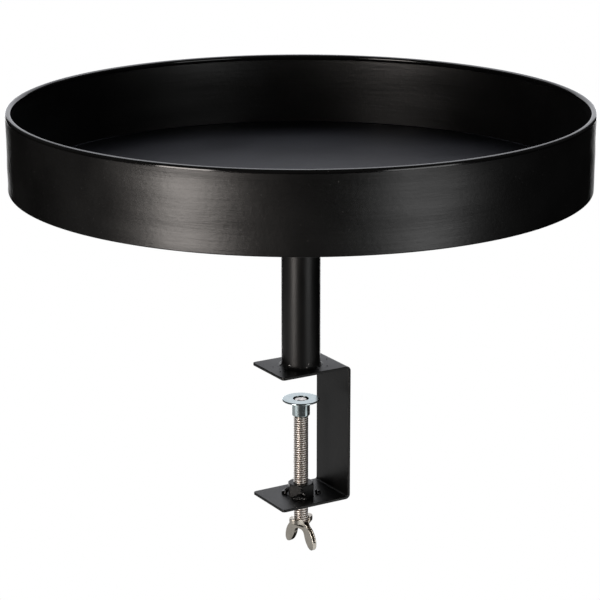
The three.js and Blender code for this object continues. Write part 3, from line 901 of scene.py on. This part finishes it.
class Nodes:
    """The nodes of a material or a world, and short ways to add to them."""

    def __init__(self, owner, coordinates="Object"):
        owner.use_nodes = True
        self.owner = owner
        self.tree = owner.node_tree
        self.shader = self.tree.nodes.get("Principled BSDF")
        self.place = self.add("ShaderNodeTexCoord").outputs[coordinates]

    def add(self, kind, **settings):
        """A new node with the given properties."""
        node = self.tree.nodes.new(kind)
        for key, value in settings.items():
            setattr(node, key, value)
        return node

    def fill(self, socket, value):
        """Links another node's output to an input, or sets the input to a constant."""
        if isinstance(value, bpy.types.NodeSocket):
            self.tree.links.new(value, socket)
        else:
            socket.default_value = value

    def set(self, node, **values):
        """Fills the node's inputs that have these names, written with _ for a space."""
        for key, value in values.items():
            self.fill(node.inputs[key.replace("_", " ")], value)

    def stretched(self, x, y, z):
        """Object coordinates scaled along each axis."""
        node = self.add("ShaderNodeMapping")
        self.set(node, Vector=self.place, Scale=(x, y, z))
        return node.outputs["Vector"]

    def noise(self, size, detail, roughness=0.5, vector=None, distortion=0.0):
        """Smooth noise whose grains are about size metres across."""
        node = self.add("ShaderNodeTexNoise")
        self.set(node, Vector=vector or self.place, Scale=1 / size, Detail=detail)
        self.set(node, Roughness=roughness, Distortion=distortion)
        return node.outputs["Fac"]

    def remap(self, value, from_low, from_high, to_low, to_high):
        """A value moved from one range to another, and kept inside it."""
        node = self.add("ShaderNodeMapRange")
        self.set(node, From_Min=from_low, From_Max=from_high, To_Min=to_low, To_Max=to_high)
        self.set(node, Value=value)
        return node.outputs["Result"]

    def math(self, operation, a, b):
        """One arithmetic step."""
        node = self.add("ShaderNodeMath", operation=operation)
        self.fill(node.inputs[0], a)
        self.fill(node.inputs[1], b)
        return node.outputs["Value"]

    def blend(self, share, first, second):
        """A colour between first (share 0) and second (share 1)."""
        node = self.add("ShaderNodeMix", data_type="RGBA")
        self.fill(node.inputs["Factor"], share)
        for place, value in ((MIX_FIRST, first), (MIX_SECOND, second)):
            self.fill(node.inputs[place], (*value, 1) if isinstance(value, tuple) else value)
        return node.outputs[MIX_RESULT]

    def bump(self, height, distance, normal=None, strength=1.0):
        """Raises the surface by distance metres where height is 1."""
        node = self.add("ShaderNodeBump")
        self.set(node, Height=height, Distance=distance, Strength=strength)
        if normal:
            self.set(node, Normal=normal)
        return node.outputs["Normal"]

    def height(self):
        """The height of the point above the origin, or of a world's direction above level."""
        node = self.add("ShaderNodeSeparateXYZ")
        self.set(node, Vector=self.place)
        return node.outputs["Z"]

    def reach(self):
        """The distance of the point from the screw's axis."""
        node = self.add("ShaderNodeVectorMath", operation="LENGTH")
        self.fill(node.inputs[0], self.stretched(1, 1, 0))
        return node.outputs["Value"]

    def show(self, output, share, first, second):
        """Shows the first shader where share is 0 and the second where it is 1."""
        mix = self.add("ShaderNodeMixShader")
        for socket, value in zip(mix.inputs, (share, first.outputs[0], second.outputs[0])):
            self.fill(socket, value)
        self.set(self.tree.nodes[output], Surface=mix.outputs[0])

    def edges(self, radius):
        """1 within about radius of a sharp edge, 0 elsewhere."""
        bevel = self.add("ShaderNodeBevel", samples=6)
        self.set(bevel, Radius=radius)
        geometry = self.add("ShaderNodeNewGeometry")
        dot = self.add("ShaderNodeVectorMath", operation="DOT_PRODUCT")
        self.fill(dot.inputs[0], bevel.outputs["Normal"])
        self.fill(dot.inputs[1], geometry.outputs["Normal"])
        return self.remap(dot.outputs["Value"], 0.995, 0.93, 0, 1)


def black_paint(name, base_roughness, tint=(1, 1, 1), streaks=0.0, peel=1.0, shine=0.5):
    """Satin black powder coat: orange peel, faint cloudiness, dust and slightly worn edges.

    With streaks, it also has the wall's rolling marks, which fade out at the smooth, glossy bead.
    """
    nodes = Nodes(bpy.data.materials.new(name))
    clouds = nodes.noise(35 * MM, 3)
    grain = nodes.noise(0.5 * MM, 2, 0.6)
    dark = tuple(0.0020 * c for c in tint)
    light = tuple(0.0036 * c for c in tint)
    colour = nodes.blend(nodes.remap(clouds, 0.3, 0.7, 0, 1), dark, light)
    specks = nodes.remap(nodes.noise(0.9 * MM, 1), 0.76, 0.80, 0, 1)
    colour = nodes.blend(specks, colour, tuple(0.05 * c for c in tint))
    gloss = nodes.remap(clouds, 0.3, 0.7, base_roughness - 0.03, base_roughness + 0.04)
    gloss = nodes.math("ADD", gloss, nodes.remap(grain, 0.3, 0.7, -0.02, 0.02))
    gloss = nodes.math("SUBTRACT", gloss, nodes.math("MULTIPLY", nodes.edges(0.4 * MM), 0.06))
    orange_peel = nodes.noise(2.2 * MM, 1.5, 0.45)
    if streaks:
        height = nodes.height()
        marked = nodes.remap(height, TRAY_TOP - 3.6 * MM, TRAY_TOP - 2.4 * MM, 1.0, 0.12)
        surface = nodes.bump(orange_peel, 0.03 * MM * peel, strength=marked)
        long_way = nodes.noise(1.0, 3, 0.55, nodes.stretched(36, 36, 560), 0.2)
        surface = nodes.bump(long_way, streaks, surface, marked)
        polished = nodes.remap(height, TRAY_TOP - 2.2 * MM, TRAY_TOP - 1.5 * MM, 0, 0.23)
        gloss = nodes.math("SUBTRACT", gloss, polished)
    else:
        surface = nodes.bump(orange_peel, 0.03 * MM * peel)
    surface = nodes.bump(grain, 0.0025 * MM, surface)
    # The reflections take the tint's colour too, so a tint that isn't white paints a colour into
    # them.
    reflected = (*(c / max(tint) for c in tint), 1)
    nodes.set(nodes.shader, Base_Color=colour, Roughness=gloss, Normal=surface)
    nodes.set(nodes.shader, Specular_IOR_Level=shine, Specular_Tint=reflected)
    return nodes.owner


def zinc_plate():
    """Bright zinc: bluish, slightly blotchy, with fine turned scratches."""
    nodes = Nodes(bpy.data.materials.new("zinc_plate"))
    blotches = nodes.noise(3.5 * MM, 3)
    mottled = nodes.remap(blotches, 0.35, 0.65, 0, 1)
    colour = nodes.blend(mottled, (0.43, 0.51, 0.525), (0.53, 0.60, 0.61))
    rings = nodes.noise(1.0, 2, 0.6, nodes.stretched(700, 700, 5200))
    gloss = nodes.remap(blotches, 0.3, 0.7, 0.12, 0.20)
    surface = nodes.bump(nodes.noise(1.6 * MM, 2), 0.004 * MM)
    surface = nodes.bump(rings, 0.0008 * MM, surface)
    nodes.set(nodes.shader, Base_Color=colour, Roughness=gloss, Normal=surface, Metallic=1.0)
    return nodes.owner


def nickel_plate(name, tint, base_roughness, threaded=False):
    """Warm nickel with dull patches and, if threaded, painted shade that darkens the clamp screw's
    thread towards its roots.
    """
    nodes = Nodes(bpy.data.materials.new(name))
    patches = nodes.noise(2.6 * MM, 3)
    dull = tuple(0.84 * c for c in tint)
    colour = nodes.blend(nodes.remap(patches, 0.35, 0.65, 0, 1), dull, tint)
    if threaded:
        # Painted shade: the thread gets darker towards its roots, and the head above the pad's floor
        # is left clear.
        crests = nodes.remap(nodes.reach(), *ROOT_SHADE_SPAN, 0, 1)
        head = nodes.remap(nodes.height(), pad_low.z, pad_low.z + MM, 0, 1)
        root_shade = tuple(c * g for c, g in zip(tint, ROOT_SHADE))
        colour = nodes.blend(nodes.math("MAXIMUM", crests, head), root_shade, colour)
    gloss = nodes.remap(patches, 0.3, 0.7, base_roughness + 0.04, base_roughness - 0.03)
    surface = nodes.bump(nodes.noise(0.5 * MM, 3), 0.0015 * MM)
    nodes.set(nodes.shader, Base_Color=colour, Roughness=gloss, Normal=surface, Metallic=1.0)
    return nodes.owner


def black_oxide():
    """Blackened steel: dark, half metallic, with rubbed edges."""
    nodes = Nodes(bpy.data.materials.new("black_oxide"))
    patches = nodes.noise(1.8 * MM, 3)
    mottled = nodes.remap(patches, 0.3, 0.7, 0, 1)
    colour = nodes.blend(mottled, (0.012, 0.012, 0.014), (0.026, 0.026, 0.028))
    rubbed = nodes.math("MULTIPLY", nodes.edges(0.15 * MM), 0.5)
    colour = nodes.blend(rubbed, colour, (0.16, 0.15, 0.14))
    gloss = nodes.remap(patches, 0.3, 0.7, 0.34, 0.46)
    surface = nodes.bump(nodes.noise(0.4 * MM, 2), 0.006 * MM)
    nodes.set(nodes.shader, Base_Color=colour, Roughness=gloss, Normal=surface, Metallic=0.6)
    return nodes.owner


# ---- pieces ----


def add_piece(piece, material, *replaced, body="frame", slot="black_paint"):
    """Gives a piece its material and body, and hides the CAD nodes that it stands for."""
    piece.data.materials.clear()
    piece.data.materials.append(material)
    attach(piece, body)
    if replaced:
        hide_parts(*replaced)


wall_paint = black_paint("wall_paint", 0.35, streaks=0.07 * MM, peel=1.4)
# Painted reflection: the blue tint turns the tray floor's reflections bluish, and tints its black a
# little.
floor_paint = black_paint("floor_paint", 0.42, tint=(0.80, 0.86, 1.10), shine=0.29)
clamp_paint = black_paint("clamp_paint", 0.38, shine=0.36)
weld_paint = black_paint("weld_paint", 0.24)
zinc = zinc_plate()
screw_nickel = nickel_plate("screw_nickel", (0.96, 0.92, 0.88), 0.38, threaded=True)
handle_nickel = nickel_plate("handle_nickel", (0.62, 0.58, 0.51), 0.27)
bare_steel = nickel_plate("bare_steel", (0.62, 0.61, 0.60), 0.20)
oxide = black_oxide()

add_piece(tray_hoop(), wall_paint, "tray_hoop")
add_piece(tray_floor(), floor_paint, "tray_floor")
add_piece(support_flange(), clamp_paint, "support_flange")
for fastener in FASTENERS:
    add_piece(tray_screw(fastener), oxide, f"tray_screw_{fastener}", slot="black_oxide")
    add_piece(tray_nut(fastener), oxide, f"tray_nut_{fastener}", slot="black_oxide")
add_piece(post_tube(), clamp_paint, "post_tube")
add_piece(post_weld(), clamp_paint, "post_weld")
add_piece(bare_drops(), bare_steel, slot="nickel_plate")
add_piece(spatter(), weld_paint)
add_piece(flange_weld(), weld_paint, "flange_weld")
add_piece(clamp_bracket(), clamp_paint, "clamp_bracket")
add_piece(weld_nut(), clamp_paint, "weld_nut")
for tack in TACK_BLOBS:
    add_piece(nut_tack(tack), weld_paint, f"nut_tack_{tack}")
add_piece(swivel_pad(), zinc, "swivel_pad", body="pad", slot="zinc_plate")
add_piece(clamp_screw(), screw_nickel, "clamp_screw", body="screw", slot="nickel_plate")
add_piece(wing_handle(), handle_nickel, "wing_handle", body="screw", slot="nickel_plate")


# ---- floor, surroundings and light ----

CAMERA_AZIMUTH = math.radians(-30.82)
CAMERA_ELEVATION = math.radians(16.18)
CAMERA_DISTANCE = 1.161
CAMERA_LENS = 133.2
CAMERA_SENSOR = 36.0
CAMERA_SHIFT = -0.0015
AIM_HEIGHT = 0.0367
TABLE_HEIGHT = cad_bounds[0].z - 9 * MM
LOWEST_TRAVEL = 37.5 * MM
STAGE_RADIUS = 7.0
ROOM_LIGHT = 0.06
ROOM_LOW_LIGHT = 0.004
# The room goes from its low light to its full light between these heights of a direction.
ROOM_SPAN = (-0.1, 0.5)


def toward(azimuth, elevation):
    """The direction from the object to a place at that azimuth (0 is -Y, 90 is +X) and height."""
    flat = math.cos(elevation)
    return Vector((math.sin(azimuth) * flat, -math.cos(azimuth) * flat, math.sin(elevation)))


def studio_floor():
    """A plain pale floor below the handle's lowest place, which can be seen through from below."""
    height = TABLE_HEIGHT - LOWEST_TRAVEL
    angles = [TURN * i / 96 for i in range(96)]
    points = [(STAGE_RADIUS * math.cos(a), STAGE_RADIUS * math.sin(a), height) for a in angles]
    floor = mesh_object("studio_floor", points, [tuple(range(len(points)))])
    floor.data.flip_normals()
    nodes = Nodes(bpy.data.materials.new("studio_floor"))
    cloudy = nodes.remap(nodes.noise(0.4, 2), 0.3, 0.7, 0.98, 1.0)
    nodes.set(nodes.shader, Base_Color=(0.05, 0.05, 0.05, 1), Roughness=0.9)
    nodes.set(nodes.shader, Emission_Color=(1, 1, 1, 1), Emission_Strength=cloudy)
    clear = nodes.add("ShaderNodeBsdfTransparent")
    side = nodes.add("ShaderNodeNewGeometry")
    nodes.show("Material Output", side.outputs["Backfacing"], nodes.shader, clear)
    floor.data.materials.append(nodes.owner)
    floor.visible_glossy = False
    floor.visible_diffuse = False
    floor.visible_shadow = False


def surroundings():
    """White to the camera, and a dim grey room to everything that the object reflects."""
    world = bpy.data.worlds.new("studio")
    bpy.context.scene.world = world
    nodes = Nodes(world, "Generated")
    room = nodes.tree.nodes["Background"]
    strength = nodes.remap(nodes.height(), *ROOM_SPAN, ROOM_LOW_LIGHT, ROOM_LIGHT)
    nodes.set(room, Color=(1, 1, 1, 1), Strength=strength)
    backdrop = nodes.add("ShaderNodeBackground")
    nodes.set(backdrop, Color=(1, 1, 1, 1))
    path = nodes.add("ShaderNodeLightPath")
    nodes.show("World Output", path.outputs["Is Camera Ray"], room, backdrop)


def area_light(name, shape, size, power):
    """A light of the given shape and area that the camera doesn't see itself."""
    light = bpy.data.lights.new(name, "AREA")
    light.shape = shape
    light.size = size[0]
    light.size_y = size[1]
    light.energy = power
    lamp = linked(name, light)
    lamp.visible_camera = False
    return lamp


def softbox(name, azimuth, elevation, distance, width, height, glow, colour=(1, 1, 1)):
    """A rectangular light that faces the object. glow is its brightness, 1 being white."""
    box = area_light(name, "RECTANGLE", (width, height), glow * math.pi * width * height)
    box.data.color = colour
    out = toward(CAMERA_AZIMUTH + math.radians(azimuth), math.radians(elevation))
    box.location = Vector((0, 0, AIM_HEIGHT)) + out * distance
    box.rotation_euler = out.to_track_quat("Z", "Y").to_euler()


def table_glow(name, azimuth, distance, radius, glow):
    """A bright round patch of the table, which only shows as a reflection."""
    power = glow * math.pi * math.pi * radius**2
    patch = area_light(name, "DISK", (2 * radius, 2 * radius), power)
    patch.location = toward(CAMERA_AZIMUTH + math.radians(azimuth), 0) * distance
    patch.location.z = TABLE_HEIGHT
    patch.rotation_euler = (math.pi, 0, 0)
    patch.visible_diffuse = False


def camera():
    """The camera, level and aimed at the post's axis."""
    data = bpy.data.cameras.new("camera")
    data.sensor_width = CAMERA_SENSOR
    data.lens = CAMERA_LENS
    data.shift_x = CAMERA_SHIFT
    viewer = linked("camera", data)
    out = toward(CAMERA_AZIMUTH, CAMERA_ELEVATION)
    viewer.location = Vector((0, 0, AIM_HEIGHT)) + out * CAMERA_DISTANCE
    viewer.rotation_euler = out.to_track_quat("Z", "Y").to_euler()
    bpy.context.scene.camera = viewer


studio_floor()
surroundings()
# Each softbox: name, azimuth and elevation in degrees, distance, width, height, glow, colour.
softbox("main_softbox", -41, 2, 1.2, 0.42, 0.70, 12.0, (1.0, 0.93, 0.88))
softbox("backdrop", 180, 18, 1.5, 1.6, 1.3, 1.0, (0.96, 0.97, 1.02))
softbox("low_backdrop", 180, -13, 1.5, 1.33, 0.67, 2.5)
softbox("side_softbox", 43.5, 2, 1.3, 0.60, 0.8, 2.9)
softbox("upper_backdrop", 180, 57, 1.4, 1.5, 0.75, 2.5, (0.96, 0.97, 1.02))
# Each patch: name, azimuth in degrees, distance, radius, glow.
table_glow("left_table_glow", -95, 0.27, 0.26, 0.42)
table_glow("pad_table_glow", -64, 0.33, 0.10, 0.9)
table_glow("right_table_glow", 72, 0.20, 0.07, 1.2)
table_glow("near_table_glow", 58, 0.06, 0.05, 0.8)
table_glow("front_table_glow", 0, 0.25, 0.20, 0.07)
camera()
bpy.context.scene.view_settings.view_transform = "Standard"
